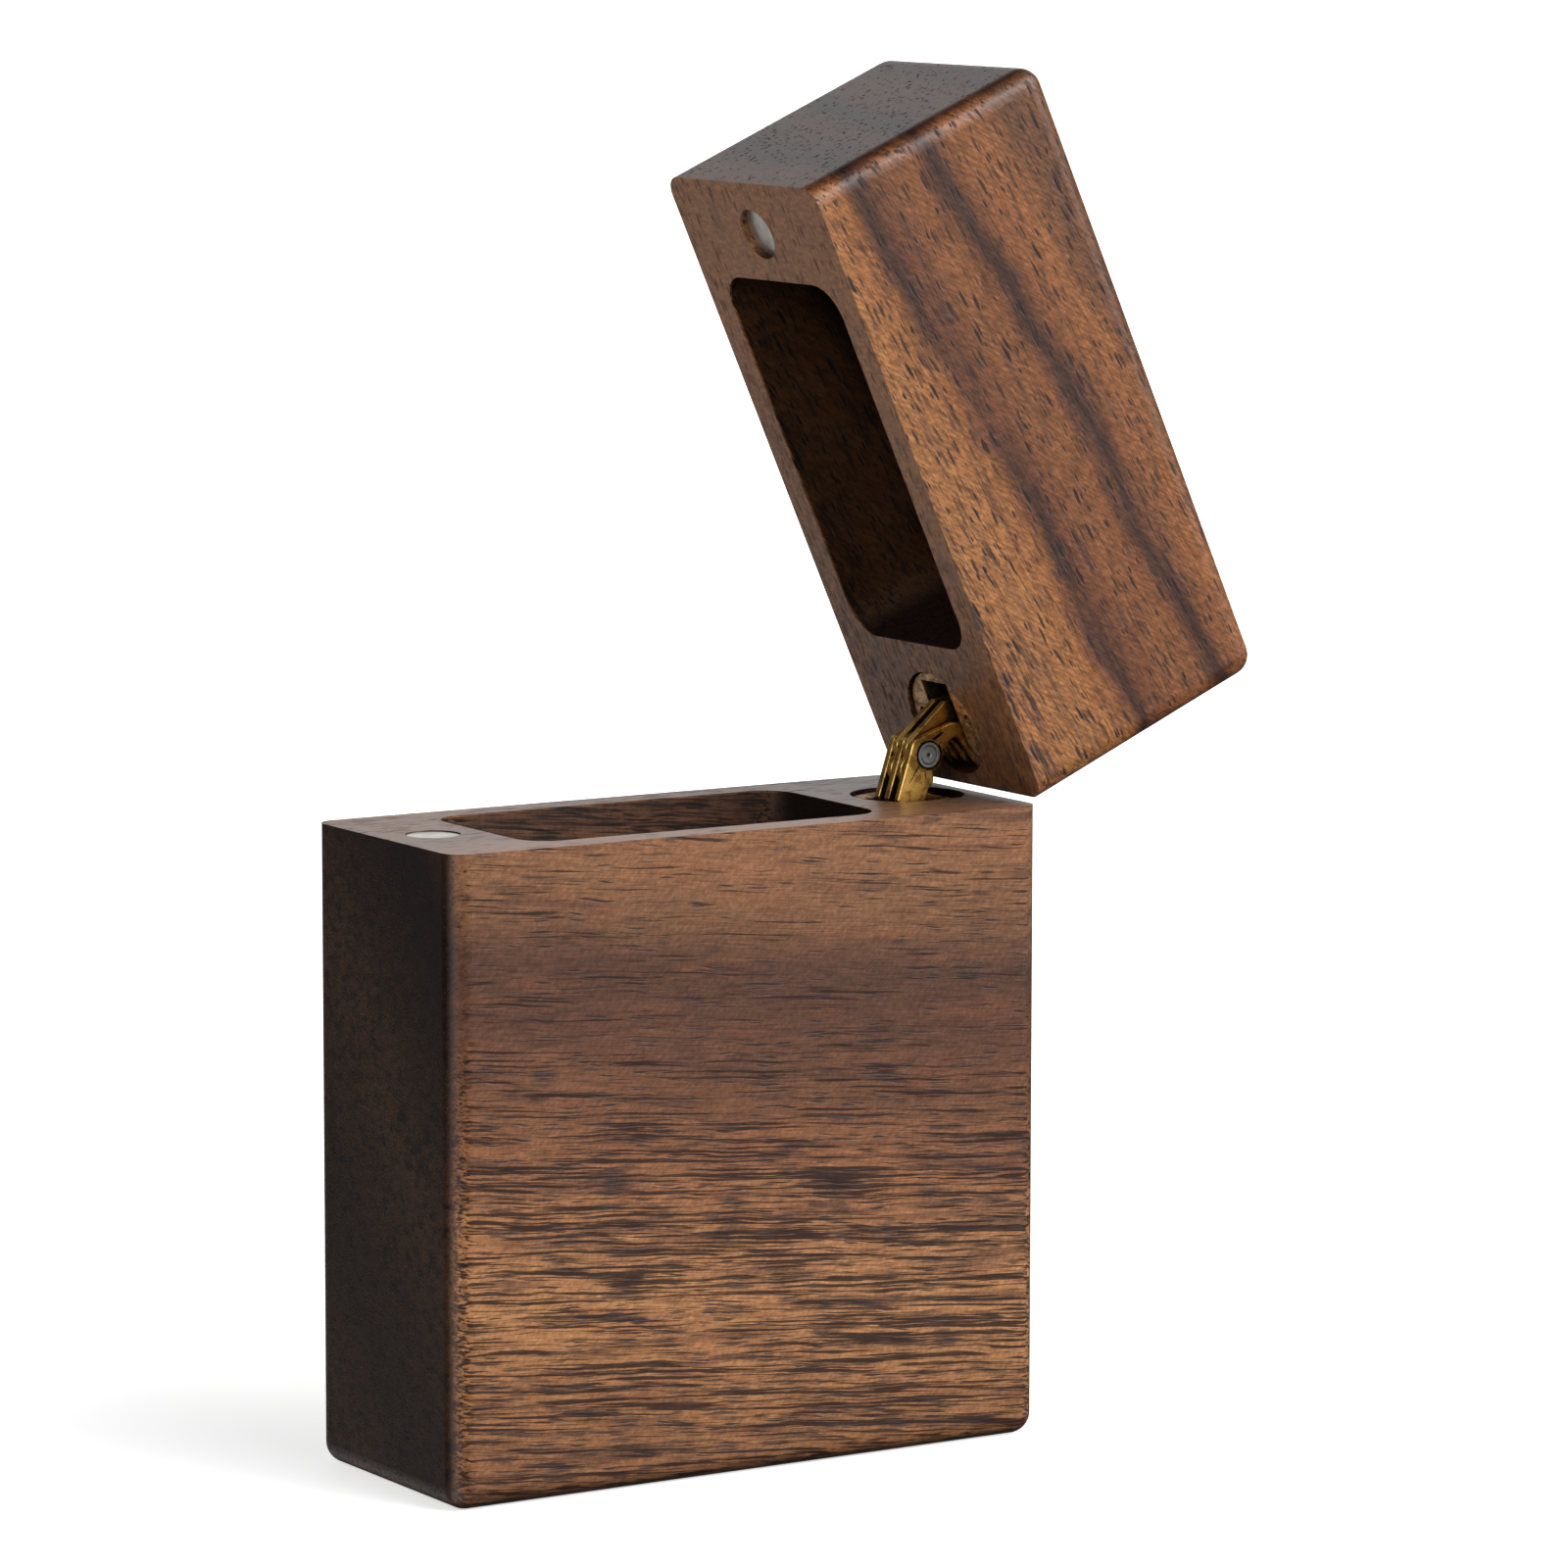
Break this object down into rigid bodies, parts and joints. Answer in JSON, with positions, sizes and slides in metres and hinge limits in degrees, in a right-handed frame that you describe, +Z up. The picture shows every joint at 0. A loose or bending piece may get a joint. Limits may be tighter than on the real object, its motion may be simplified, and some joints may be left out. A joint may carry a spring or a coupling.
{
  "type": "guitar pick holder",
  "caption": "Hardwood flip-top guitar pick case: deep base and shallow lid joined by a concealed barrel hinge, with magnets that hold it shut.",
  "frame": {"origin": "centre of the flat underside of the base", "axes": "+Z up through the base, +X towards the hinge end, -Y out of the long front face; the lid is open 66 degrees at rest"},
  "size_m": [0.0694, 0.0206, 0.1018],
  "materials": {
    "walnut": "oiled satin, open pores",
    "nickel_magnet": "nickel plate, slightly dulled",
    "aged_brass": "aged, mottled, worn bright on the edges",
    "pin_steel": "turned"
  },
  "bodies": {
    "base": {"base_body": "walnut", "base_magnet": "nickel_magnet", "base_barrel": "aged_brass", "base_pivot_pin": "pin_steel"},
    "lid": {"lid_body": "walnut", "lid_magnet": "nickel_magnet", "lid_barrel": "aged_brass", "lid_pivot_pin": "pin_steel"},
    "lid_leaves": {"front_leaf": "aged_brass", "middle_leaf": "aged_brass", "rear_leaf": "aged_brass", "center_rivet": "pin_steel", "lid_leaf_slide_pin": "pin_steel"},
    "base_leaves": {"inner_front_leaf": "aged_brass", "inner_rear_leaf": "aged_brass", "base_leaf_slide_pin": "pin_steel"}
  },
  "joints": [
    {"name": "lid_hinge", "type": "hinge", "parent": "base", "child": "lid", "pos_m": [0.02535, 0, 0.04755], "axis": [0, 1, 0], "range_deg": [-66, 114]},
    {"name": "base_leaf_pivot", "type": "hinge", "parent": "base", "child": "base_leaves", "pos_m": [0.0228, 0, 0.0463], "axis": [0, 1, 0], "range_deg": [-40.4, 69.7]},
    {"name": "lid_leaf_pivot", "type": "hinge", "parent": "lid", "child": "lid_leaves", "pos_m": [0.02545, 0, 0.05039], "axis": [0, 1, 0], "range_deg": [-69.7, 40.4]}
  ],
  "couplings": [
    {"joint": "base_leaf_pivot", "follows": "lid_hinge", "ratio": 0.61},
    {"joint": "lid_leaf_pivot", "follows": "lid_hinge", "ratio": -0.61}
  ]
}
